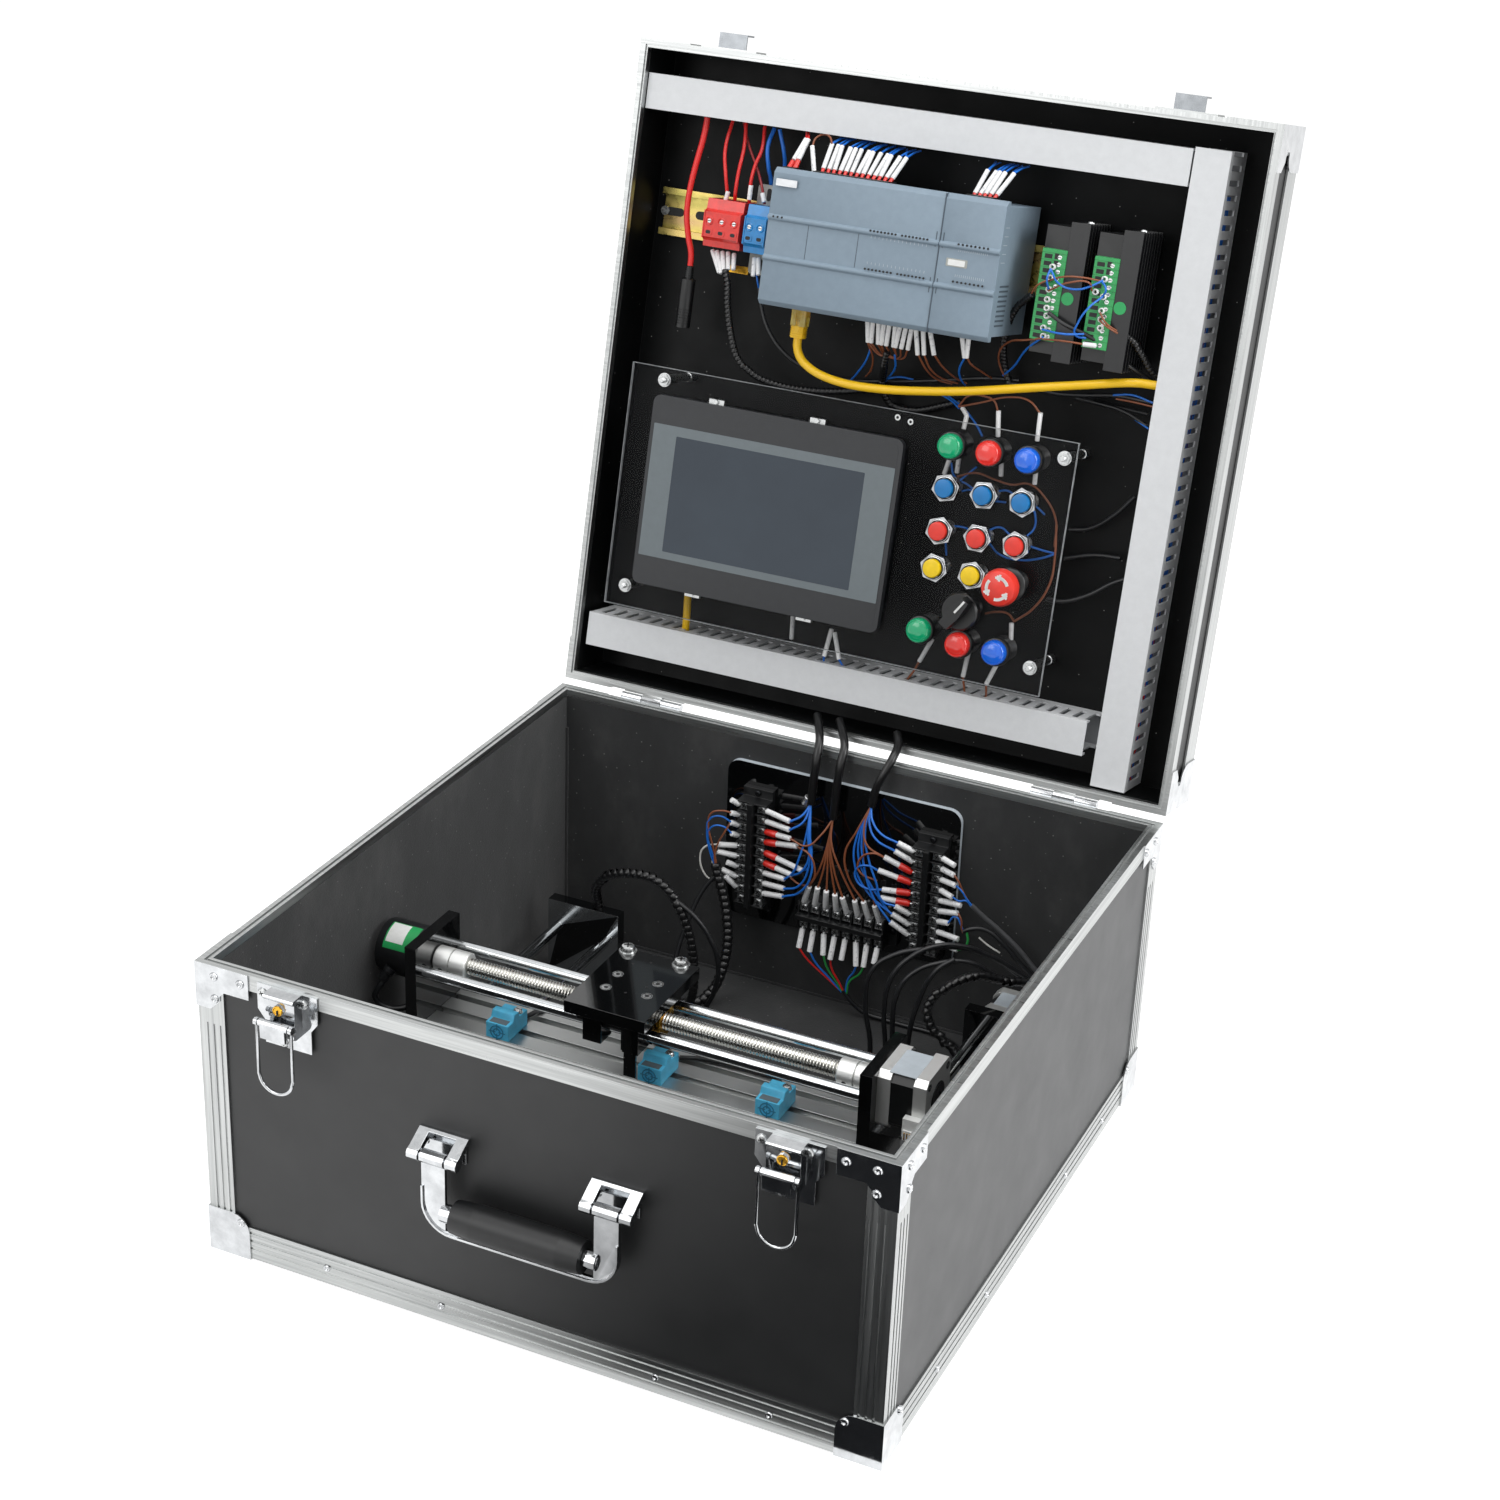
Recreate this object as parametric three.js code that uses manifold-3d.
// Portable trainer for motion control, built into a flight case.
// Millimetres. X to the right, Y to the back, Z up. The origin is the centre of the underside.
// The lid's own axes are x to the right, y outwards through its back and z up from its hinge edge.
import * as THREE from 'three';
import { mergeVertices } from 'three/addons/utils/BufferGeometryUtils.js';
import Module from 'manifold-3d';

const wasm = await Module();
wasm.setup();

// Shared clearances and facets
const OVERRUN = 3; // how far a cutting tool passes a face
const RUNNING_GAP = 0.3; // between a shaft and its bore, and between pieces that rest on each other
const ROUND_SIDES = 20;
const CONTROL_SIDES = 14;
const SMALL_SIDES = 10;
const WIRE_SIDES = 8;
const HEX = 6;

// The case: outer sizes over the corner plates, and its boards
const CASE = {
  width: 480,
  depth: 480,
  baseHeight: 217.8,
  wallBoard: 6,
  floorBoard: 7,
  floorRebate: 32,
  floorStep: 1,
  lidHeight: 479.5,
  lidDepth: 60,
  lidBoard: 4,
  lidBackBoard: 9.5,
  closedGap: 0.3,
};
const OPEN_LEAN = THREE.MathUtils.degToRad(13.2);

// Aluminium edging round the boards
const TRIM = {
  sheet: 1.5,
  face: 24,
  post: 19.3,
  crown: 5.8,
  skirt: 5.5,
  grooveInset: 3.4,
  grooveWide: 1.8,
  grooveDeep: 1.4,
  ribWide: 1.6,
  ribDeep: 0.7,
};
const RIB_SHARES = [0.3, 0.55, 0.8];

// Pressed corner plates: an angle at each rim corner and a cap at each outer corner
const PLATE = {
  sheet: 1,
  reach: 40,
  drop: 32,
  leg: 18,
  chamfer: 7,
  capReach: 31.5,
  capLow: 20.5,
  capTab: 13,
};

// Two hinges with a pin, behind the case
const HINGE = {
  spread: CASE.width / 2 - 75,
  length: 50,
  axisOut: 3.3,
  axisUp: 0.2,
  knuckle: 3,
  pin: 1.2,
  bore: 1.5,
  leaf: 1.2,
  leafReach: 18,
};

// Draw latches on the front
const LATCH = {
  spread: CASE.width / 2 - 69,
  plateHalf: 22,
  plateWaist: 17,
  plateTop: 215.5,
  plateShoulder: 197,
  plateNeck: 190.5,
  plateFoot: 174,
  sheet: 1.3,
  boxHalf: 11,
  boxOut: 10,
  boxFoot: 197,
  lip: 1.7,
  lockRadius: 3.6,
  lockOut: 1.5,
  lockZ: 206.5,
  pivotOut: 8.5,
  pivotZ: 189.5,
  ear: 1.6,
  knuckle: 2.8,
  pin: 1.2,
  leverHalf: 9,
  // Side view of the lever, out from its pin and up from it
  leverTop: [
    [0, 2.8],
    [3.6, 3.2],
    [6, 9],
    [8.1, 11.6],
    [10.6, 9],
  ],
  leverFlange: [
    [10.2, -1],
    [8.2, -1],
    [7.6, 5.4],
    [5.2, 0.8],
    [0, -2.8],
  ],
  bailOut: 16.6,
  bailZ: 198.5,
  bailHalf: 12.6,
  bailWire: 1.2,
  bailDrop: 50.5,
  eye: 2.6,
  catchReach: 18,
  catchStart: 3,
  hookOut: 11,
  hookDeep: 12,
};

// Swinging carry handle
const HANDLE = {
  spread: 60,
  mountHalf: 17.5,
  windowHalf: 9.6,
  mountTop: 146,
  mountFoot: 127,
  mountSheet: 2,
  pivotOut: 14.5,
  pivotZ: 134.5,
  barrel: 4.5,
  pin: 1.5,
  legHalf: 8.4,
  sheet: 2.6,
  flangeDeep: 5.4,
  flangeSheet: 1.6,
  foot: 81,
  bend: 21,
  gripZ: 96.5,
  gripRadius: 12,
  gripEnd: 9.5,
  gripHalf: 45,
  core: 4,
  boss: 6,
};

// Wiring board on the back wall with three barrier strips
const BOARD = {
  left: -92,
  right: 95,
  foot: 66,
  top: 195,
  corner: 10,
  sheet: 4,
  stripWide: 24,
  stripDeep: 8,
  ribWide: 4,
  ribDeep: 20,
  wallDeep: 16,
  wall: 1.2,
  pole: 8.7,
  lug: 7,
  lugDeep: 5,
};
const STRIPS = [
  { name: 'terminal_strip_left', centre: [-64.5, 127], poles: 10, upright: true },
  { name: 'terminal_strip_middle', centre: [11, 87], poles: 8, upright: false },
  { name: 'terminal_strip_right', centre: [76.2, 123.6], poles: 10, upright: true },
];

// Floor guides that carry the cross stage
const GUIDE = {
  leftX: 58 - CASE.width / 2,
  rightX: CASE.width / 2 - 81,
  rodSpread: 21.5,
  rodRadius: 4,
  plateWide: 60,
  plateThick: 10,
  top: 72,
  front: 66 - CASE.depth / 2,
  back: CASE.depth / 2 - 62,
  axisZ: 50,
};

// Ball screws, couplings and motors
const DRIVE = {
  screwRadius: 6,
  floorScrewRadius: 5,
  coupling: 9.2,
  couplingLong: 25,
  slit: 1.2,
  slitDeep: 2,
  shaft: 2.5,
  motorSide: 42.3,
  motorChamfer: 4.2,
  motorLong: 34,
  encoderRadius: 19.5,
  encoderLong: 32,
};

// Cross stage, measured from its centre line and from the underside of its bed
const STAGE = {
  y: -36,
  z: 70.5,
  left: 45 - CASE.width / 2,
  right: CASE.width / 2 - 88.5,
  plateThick: 8.7,
  plateTall: 81.2,
  half: 29.5,
  bedThick: 20,
  slotPitch: 20,
  slotMouth: 3.1,
  slotHalf: 5.5,
  slotLip: 1.8,
  slotDeep: 6.2,
  rodSpread: 21.5,
  rodRadius: 4,
  axis: 60.6,
};

// Blocks that ride on the floor guides under the bed
const SHOE = { half: 27.5, tall: 30 };

// Carriage of the cross stage, measured from the stage's centre line and bed.
// Under its plate hang four rod bearings, the nut's bracket and a switching flag.
const CARRIAGE = {
  left: -65.5,
  right: -5.5,
  half: 40.8,
  top: 82.5,
  plate: 9,
  spineLeft: -62,
  spineRight: -14,
  spineHalf: 29.5,
  spineFoot: 63.5,
  bearingLefts: [-56.5, -27.8],
  bearingLong: 13.8,
  bearingIn: 15.5,
  bearingOut: 31,
  bearingFoot: 49.7,
  bracketHalf: 12.5,
  bracketFoot: 47.5,
  nutRadius: 11,
  nutThick: 4.5,
  flagThick: 2,
  flagLeft: -25.9,
  flagRight: -14,
  flagTipLeft: -24.5,
  flagTipRight: -15.6,
  flagFoot: 32,
};

// Proximity sensors on the bed
const SENSOR = {
  wide: 17.8,
  long: 27,
  tall: 12.3,
  frontY: -17,
  loopFrom: 9,
  loopTo: 14.5,
  loopTall: 17,
  slope: 2,
};
const SENSOR_X = [-130.1, -13.2, 73.8];
const SENSOR_NAMES = ['sensor_left', 'sensor_middle', 'sensor_right'];

// Slotted wiring duct in the lid
const DUCT = {
  wide: 25.5,
  deep: 42,
  wall: 1.5,
  topFrom: -233,
  topTo: 179.2,
  topZ: 430,
  sideX: 180.5,
  sideFrom: 8,
  sideTo: 457,
  bottomFrom: -229,
  bottomTo: 171,
  bottomZ: 27.5,
};

// Mounting rail
const RAIL = { from: -227, to: 156, centreZ: 357, tall: 35, deep: 7.5, sheet: 1, brim: 5 };

// Controller and its expansion module, on the rail
const CONTROLLER = {
  left: -107,
  split: 23,
  right: 68,
  foot: 307.5,
  top: 404,
  front: 34,
  joint: 0.4,
  coverThick: 8,
  shoulder: 3.5,
  bead: 2,
  recessDeep: 9,
  recessBack: 14,
  recessSide: 9,
};
const BEAD_SHARES = [0.36, 0.654];

// Feed terminals on the rail, left of the controller
const FEED = {
  left: -172.5,
  middle: -143,
  blueLeft: -140,
  right: -122.5,
  foot: 339,
  top: 373.5,
  front: 0,
  baseFront: -14,
  tagLeft: -142,
  tagRight: -124.5,
  tagFoot: 323,
  tagTop: 388,
  tagFront: -22,
};

// Motor drivers with a finned side
const DRIVER = {
  lefts: [88, 126],
  wide: 33,
  foot: 300,
  top: 396,
  front: 8,
  caseWide: 19,
  caseInset: 4,
  caseFront: 1,
  fin: 9,
  finThick: 2,
  fins: 8,
  stripLeft: 1.6,
  stripWide: 18.4,
  stripFoot: 313.5,
  stripTop: 376,
  stripFront: 9,
};

// Clear panel on standoffs
const PANEL = {
  left: -214,
  right: 135,
  foot: 64.5,
  top: 247,
  front: 2,
  sheet: 3,
  standoff: 4,
  head: 4.6,
  headOut: 3,
};
const STANDOFFS = [
  [-186.5, 238],
  [126.5, 235],
  [125.5, 84],
  [-198, 80.5],
];

// Touch screen set through the panel
const SCREEN = {
  left: -190.5,
  right: 9,
  foot: 85.5,
  top: 227.6,
  proud: 6,
  corner: 6,
  inset: 10,
  bodyDeep: 28,
  glassLeft: -170.5,
  glassRight: -8,
  glassFoot: 114.2,
  glassTop: 202.5,
  glassDeep: 0.6,
};

// Lamps, push buttons, stop button and selector on the panel
const CONTROL = {
  lens: 8.75,
  lensOut: 11,
  collar: 8.6,
  collarOut: 4,
  nut: 10.5,
  nutOut: 2,
  cap: 6.75,
  capOut: 7.5,
  capIn: 4,
  travel: 2.5,
  body: 8,
  bodyIn: 16,
};
const LAMPS = [
  [43.5, 229.5],
  [72.5, 229.5],
  [101.5, 229.5],
  [40.5, 95],
  [71, 90.5],
  [99, 90.5],
];
const BUTTONS = [
  ['button_blue_1', 43.5, 199],
  ['button_blue_2', 72.5, 199],
  ['button_blue_3', 101.5, 199],
  ['button_red_1', 43.5, 168],
  ['button_red_2', 72.5, 168],
  ['button_red_3', 101.5, 168],
  ['button_yellow_1', 43.5, 141],
  ['button_yellow_2', 72.5, 141],
];
const STOP = {
  x: 101,
  z: 140,
  head: 13.5,
  headThick: 9,
  headOut: 28,
  headShares: [0.62, 0.93],
  thickShares: [0.3, 0.62],
  stem: 6.5,
  collar: 10.5,
  collarOut: 9,
};
const SELECTOR = {
  x: 70,
  z: 115,
  ring: 12.5,
  ringOut: 6,
  knob: 10.5,
  knobOut: 13,
  grip: 3.2,
  gripOut: 22,
  spigot: 5,
};

// Leads. Each route is in the axes of what holds it.
const NETWORK = {
  radius: 3.1,
  plugWide: 12,
  plugTall: 22,
  plugDeep: 9,
  route: [
    [-85.5, -2, 284.6],
    [-84.4, -3, 278],
    [-79, -5, 270.5],
    [-68, -7, 264.5],
    [-54, -8, 261],
    [-36, -9, 259.6],
    [-10, -9, 260.8],
    [19, -8, 264.4],
    [49, -7, 269.4],
    [78, -5, 275.6],
    [107, -2, 282],
    [135, 2, 288],
    [157, 7.5, 292.6],
    [168, 10.6, 294],
    [174, 11, 294.2],
    [180.1, 11, 294.2],
  ],
};
const DC = {
  radius: 2.2,
  socketRadius: 5.4,
  socketLong: 36,
  neck: 3.4,
  neckLong: 9,
  route: [
    [-187.4, 17, 429.4],
    [-187.5, 17, 424],
    [-188.2, 16, 413],
    [-190.4, 14, 395],
    [-191.8, 12, 377],
    [-191.4, 11, 359],
    [-187.9, 11, 343],
    [-184.4, 11, 333],
    [-183.5, 11, 327.5],
    [-183.5, 11, 322.3],
  ],
};
const HARNESS = { radius: 3.4 };
const HARNESS_ROUTES = [
  [
    [-33, 253, 233],
    [-26, 241, 229.6],
    [-20, 229, 224.5],
    [-18.6, 222, 214],
    [-19, 219.6, 199],
    [-20, 219, 178],
  ],
  [
    [-15, 253, 233],
    [-7, 241, 229.6],
    [0, 229, 224.5],
    [0.6, 222, 214],
    [-0.6, 219.6, 196],
    [-2, 219, 170],
  ],
  [
    [31, 253, 233],
    [37, 241, 229.6],
    [38, 229, 224.5],
    [34.6, 222, 214],
    [30, 219.6, 201],
    [27.6, 219, 188],
  ],
];

// Materials
function colour(hex, roughness, metalness) {
  return new THREE.MeshStandardMaterial({ color: hex, roughness, metalness });
}
const BLACK_BOARD = colour(0x1d1d1f, 0.7, 0);
const LINING = colour(0x2b2c2e, 0.95, 0);
const ALUMINIUM = colour(0xd6d7d5, 0.35, 1);
const CHROME = colour(0xe6e8ea, 0.12, 1);
const GRIP_PLASTIC = colour(0x17181a, 0.5, 0);
const BLACK_METAL = colour(0x141416, 0.45, 0.6);
const STEEL = colour(0xc4c7ca, 0.25, 1);
const DUCT_PLASTIC = colour(0xc9ccce, 0.55, 0);
const PASSIVATED_STEEL = colour(0xa89a58, 0.4, 1);
const GREY_PLASTIC = colour(0x68798a, 0.5, 0);
const RED_PLASTIC = colour(0xd6261f, 0.35, 0);
const BLUE_PLASTIC = colour(0x1468c8, 0.35, 0);
const YELLOW_PLASTIC = colour(0xf2d21a, 0.35, 0);
const SENSOR_BLUE = colour(0x2fa3d8, 0.45, 0);
const CLEAR_ACRYLIC = colour(0x8d9296, 0.08, 0);
const CORD_BLACK = colour(0x141414, 0.5, 0);

// Shape helpers
function toSolid(geometry) {
  geometry.deleteAttribute('normal');
  geometry.deleteAttribute('uv');
  const merged = mergeVertices(geometry);
  const vertProperties = Float32Array.from(merged.attributes.position.array);
  const triVerts = Uint32Array.from(merged.index.array);
  return new wasm.Manifold(new wasm.Mesh({ numProp: 3, vertProperties, triVerts }));
}

function toGeometry(solid) {
  const { vertProperties, triVerts } = solid.getMesh();
  const geometry = new THREE.BufferGeometry();
  geometry.setAttribute('position', new THREE.BufferAttribute(vertProperties, 3));
  geometry.setIndex(new THREE.BufferAttribute(triVerts, 1));
  geometry.computeVertexNormals();
  return geometry;
}

const join = (...solids) => solids.reduce((sum, next) => sum.add(next));
const cut = (first, ...tools) => tools.reduce((rest, tool) => rest.subtract(tool), first);

function block([x0, x1], [y0, y1], [z0, z1]) {
  const geometry = new THREE.BoxGeometry(Math.abs(x1 - x0), Math.abs(y1 - y0), Math.abs(z1 - z0));
  geometry.translate((x0 + x1) / 2, (y0 + y1) / 2, (z0 + z1) / 2);
  return toSolid(geometry);
}

// A cylinder along x, y or z. The place is its axis in the two other directions, in the order x, y, z.
function rod(axis, radius, [from, to], [a, b], sides = ROUND_SIDES) {
  const geometry = new THREE.CylinderGeometry(radius, radius, Math.abs(to - from), sides);
  const middle = (from + to) / 2;
  if (axis === 'x') geometry.rotateZ(-Math.PI / 2).translate(middle, a, b);
  if (axis === 'y') geometry.translate(a, middle, b);
  if (axis === 'z') geometry.rotateX(Math.PI / 2).translate(a, b, middle);
  return toSolid(geometry);
}

const outline = (points) => new THREE.Shape(points.map(([a, b]) => new THREE.Vector2(a, b)));

// An outline of the two other directions, drawn out along x, y or z
function prism(axis, shape, [from, to], curveSegments = 4) {
  const settings = { depth: to - from, bevelEnabled: false, curveSegments };
  const geometry = new THREE.ExtrudeGeometry(shape, settings);
  const [x, y, z] = [new THREE.Vector3(1, 0, 0), new THREE.Vector3(0, 1, 0), new THREE.Vector3(0, 0, 1)];
  const turn = new THREE.Matrix4();
  if (axis === 'x') geometry.applyMatrix4(turn.makeBasis(y, z, x)).translate(from, 0, 0);
  if (axis === 'y') geometry.applyMatrix4(turn.makeBasis(x, z, y.negate())).translate(0, to, 0);
  if (axis === 'z') geometry.translate(0, 0, from);
  return toSolid(geometry);
}

function roundedRectangle([a0, a1], [b0, b1], radius) {
  const shape = new THREE.Shape();
  shape.moveTo(a0 + radius, b0);
  shape.lineTo(a1 - radius, b0);
  shape.absarc(a1 - radius, b0 + radius, radius, -Math.PI / 2, 0, false);
  shape.absarc(a1 - radius, b1 - radius, radius, 0, Math.PI / 2, false);
  shape.absarc(a0 + radius, b1 - radius, radius, Math.PI / 2, Math.PI, false);
  shape.absarc(a0 + radius, b0 + radius, radius, Math.PI, Math.PI * 1.5, false);
  return shape;
}

function squareWithChamfers(half, chamfer, [a, b]) {
  const flat = half - chamfer;
  const corners = [[half, flat], [flat, half], [-flat, half], [-half, flat]];
  const ring = [...corners, ...corners.map(([p, q]) => [-p, -q])];
  return outline(ring.map(([p, q]) => [a + p, b + q]));
}

function tube(points, radius, sides, steps) {
  const places = points.map((point) => new THREE.Vector3(...point));
  const curve = new THREE.CatmullRomCurve3(places, false, 'centripetal');
  const corners = [...Array(sides).keys()].map((k) => (k * 2 * Math.PI) / sides);
  const section = outline(corners.map((angle) => [radius * Math.cos(angle), radius * Math.sin(angle)]));
  return toSolid(new THREE.ExtrudeGeometry(section, { extrudePath: curve, steps, bevelEnabled: false }));
}

function piece(name, solid, material, parent) {
  const mesh = new THREE.Mesh(toGeometry(solid), material);
  mesh.name = name;
  parent.add(mesh);
  return mesh;
}

function groupIn(parent, x, y, z) {
  const group = new THREE.Group();
  group.position.set(x, y, z);
  parent.add(group);
  return group;
}

const SIDES = [-1, 1];
const QUARTERS = [[-1, -1], [1, -1], [1, 1], [-1, 1]];

// Levels of the layers of the case's walls, from the outside in
const plateX = CASE.width / 2;
const plateY = CASE.depth / 2;
const trimX = plateX - PLATE.sheet;
const trimY = plateY - PLATE.sheet;
const boardX = trimX - TRIM.sheet;
const boardY = trimY - TRIM.sheet;
const wallX = boardX - CASE.wallBoard;
const wallY = boardY - CASE.wallBoard;
const boardFoot = PLATE.sheet + TRIM.sheet;
const boardTop = CASE.baseHeight - TRIM.crown;
const skirtFoot = boardTop - TRIM.skirt;
const floorZ = boardFoot + CASE.floorBoard;
const hingeY = plateY + HINGE.axisOut;
const hingeZ = CASE.baseHeight + HINGE.axisUp;

// The same layers of the lid, in its own axes
const lidInnerX = boardX - CASE.lidBoard;
const lidTrimLow = PLATE.sheet;
const lidTrimHigh = CASE.lidHeight - PLATE.sheet;
const lidBoardLow = lidTrimLow + TRIM.sheet;
const lidBoardHigh = lidTrimHigh - TRIM.sheet;
const lidInnerLow = lidBoardLow + CASE.lidBoard;
const lidInnerHigh = lidBoardHigh - CASE.lidBoard;
const lidTrimBack = CASE.lidDepth - PLATE.sheet;
const lidBoardBack = lidTrimBack - TRIM.sheet;
const lidFloor = lidBoardBack - CASE.lidBackBoard;

const trainer = new THREE.Group();

// Base of the case
function ringAbout(outerX, outerY, innerX, innerY, [z0, z1]) {
  const hole = block([-innerX, innerX], [-innerY, innerY], [z0 - OVERRUN, z1 + OVERRUN]);
  return cut(block([-outerX, outerX], [-outerY, outerY], [z0, z1]), hole);
}

// Outline of a rim corner plate, from the corner inwards and down from the rim
function cornerPlateOutline(sign, edge, rim, down) {
  const at = (reach, drop) => [sign * (edge - reach), rim + down * drop];
  const { reach, drop, leg, chamfer } = PLATE;
  const notch = chamfer / 2;
  const rimSide = [[0, 0], [reach, 0], [reach, leg], [leg + notch, leg]];
  const postSide = [[leg, leg + notch], [leg, drop - chamfer], [leg - chamfer, drop], [0, drop]];
  return outline([...rimSide, ...postSide].map(([a, b]) => at(a, b)));
}

// Outline of a corner cap, with its quarter-round tab
function capOutline(sign, edge, foot, up) {
  const at = (reach, height) => [sign * (edge - reach), foot + up * height];
  const { capReach, capLow, capTab } = PLATE;
  const centre = capReach - capTab;
  const arc = [0, 0.25, 0.5, 0.75, 1].map((share) => (share * Math.PI) / 2);
  const round = arc.map((angle) => [centre + capTab * Math.cos(angle), capLow + capTab * Math.sin(angle)]);
  return outline([[0, 0], [capReach, 0], ...round, [0, capLow + capTab]].map(([a, b]) => at(a, b)));
}

function hingeKnuckle([from, to], pinned) {
  const barrel = rod('x', HINGE.knuckle, [from, to], [0, 0], SMALL_SIDES);
  if (pinned) return barrel;
  return cut(barrel, rod('x', HINGE.bore, [from - OVERRUN, to + OVERRUN], [0, 0], SMALL_SIDES));
}

const hingeThird = HINGE.length / 3;

function rimHinge(x) {
  const whole = [-HINGE.length / 2, HINGE.length / 2];
  const outer = [[whole[0], -hingeThird / 2], [hingeThird / 2, whole[1]]];
  const knuckles = outer.map((span) => hingeKnuckle(span, true));
  const pin = rod('x', HINGE.pin, whole, [0, 0], SMALL_SIDES);
  const leafBack = trimY - hingeY;
  const leafRoot = leafBack - TRIM.sheet / 2;
  const leafFoot = CASE.baseHeight - HINGE.leafReach - hingeZ;
  const leafTop = -HINGE.axisUp - RUNNING_GAP;
  const leaf = block(whole, [leafRoot, leafBack + HINGE.leaf], [leafFoot, leafTop]);
  const bridges = outer.map((span) => block(span, [leafBack, 0], [-HINGE.knuckle + RUNNING_GAP, leafTop]));
  return join(...knuckles, pin, leaf, ...bridges).translate([x, hingeY, hingeZ]);
}

function baseRimFrame() {
  const crown = ringAbout(trimX, trimY, wallX, wallY, [boardTop, CASE.baseHeight]);
  const skirt = ringAbout(trimX, trimY, boardX, boardY, [skirtFoot, boardTop]);
  const groove = ringAbout(
    trimX - TRIM.grooveInset,
    trimY - TRIM.grooveInset,
    trimX - TRIM.grooveInset - TRIM.grooveWide,
    trimY - TRIM.grooveInset - TRIM.grooveWide,
    [CASE.baseHeight - TRIM.grooveDeep, CASE.baseHeight + OVERRUN],
  );
  const plates = QUARTERS.flatMap(([sx, sy]) => {
    const along = [sy * trimY, sy * plateY].sort((a, b) => a - b);
    const across = [sx * trimX, sx * plateX].sort((a, b) => a - b);
    const front = prism('y', cornerPlateOutline(sx, plateX, CASE.baseHeight, -1), along);
    return [front, prism('x', cornerPlateOutline(sy, plateY, CASE.baseHeight, -1), across)];
  });
  const hinges = SIDES.map((side) => rimHinge(side * HINGE.spread));
  return join(cut(crown, groove), skirt, ...plates, ...hinges);
}

function baseLowerFrame() {
  const strip = ringAbout(trimX, trimY, boardX, boardY, [PLATE.sheet, PLATE.sheet + TRIM.face]);
  const under = ringAbout(trimX, trimY, trimX - TRIM.face, trimY - TRIM.face, [PLATE.sheet, boardFoot]);
  const ribs = RIB_SHARES.map((share) => {
    const z = PLATE.sheet + share * TRIM.face;
    return ringAbout(plateX, plateY, trimX - TRIM.ribDeep, trimY - TRIM.ribDeep, [z, z + TRIM.ribWide]);
  });
  const posts = QUARTERS.map(([sx, sy]) => {
    const tall = [PLATE.sheet, skirtFoot];
    const wide = block([sx * (trimX - TRIM.post), sx * trimX], [sy * boardY, sy * trimY], tall);
    const deep = block([sx * boardX, sx * trimX], [sy * (trimY - TRIM.post), sy * trimY], tall);
    return join(wide, deep);
  });
  const flutes = QUARTERS.flatMap(([sx, sy]) =>
    RIB_SHARES.flatMap((share) => {
      const tall = [PLATE.sheet + TRIM.face + TRIM.ribWide, skirtFoot - PLATE.drop];
      const x = sx * (trimX - share * TRIM.post);
      const y = sy * (trimY - share * TRIM.post);
      const faceX = [sx * (trimX - TRIM.ribDeep), sx * (trimX + OVERRUN)];
      const faceY = [sy * (trimY - TRIM.ribDeep), sy * (trimY + OVERRUN)];
      const acrossX = [x, x - sx * TRIM.ribWide];
      const acrossY = [y, y - sy * TRIM.ribWide];
      return [block(acrossX, faceY, tall), block(faceX, acrossY, tall)];
    }),
  );
  const caps = QUARTERS.map(([sx, sy]) => {
    const along = [sy * trimY, sy * plateY].sort((a, b) => a - b);
    const across = [sx * trimX, sx * plateX].sort((a, b) => a - b);
    const front = prism('y', capOutline(sx, plateX, 0, 1), along);
    const side = prism('x', capOutline(sy, plateY, 0, 1), across);
    const foot = block(
      [sx * (plateX - PLATE.capReach), sx * plateX],
      [sy * (plateY - PLATE.capReach), sy * plateY],
      [0, PLATE.sheet],
    );
    return join(front, side, foot);
  });
  return join(cut(join(strip, under, ...posts), ...ribs, ...flutes), ...caps);
}

function buildBase(base) {
  const step = boardFoot + CASE.floorStep;
  const sole = [-wallX + CASE.floorRebate, wallX - CASE.floorRebate];
  const floor = block([-wallX, wallX], [-wallY, wallY], [step, floorZ]);
  const walls = ringAbout(boardX, boardY, wallX, wallY, [boardFoot, boardTop]);
  piece('base_floor_board', join(floor, block(sole, sole, [boardFoot, step])), LINING, base);
  piece('base_wall_boards', walls, BLACK_BOARD, base);
  piece('base_rim_frame', baseRimFrame(), ALUMINIUM, base);
  piece('base_lower_frame', baseLowerFrame(), ALUMINIUM, base);
}

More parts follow.
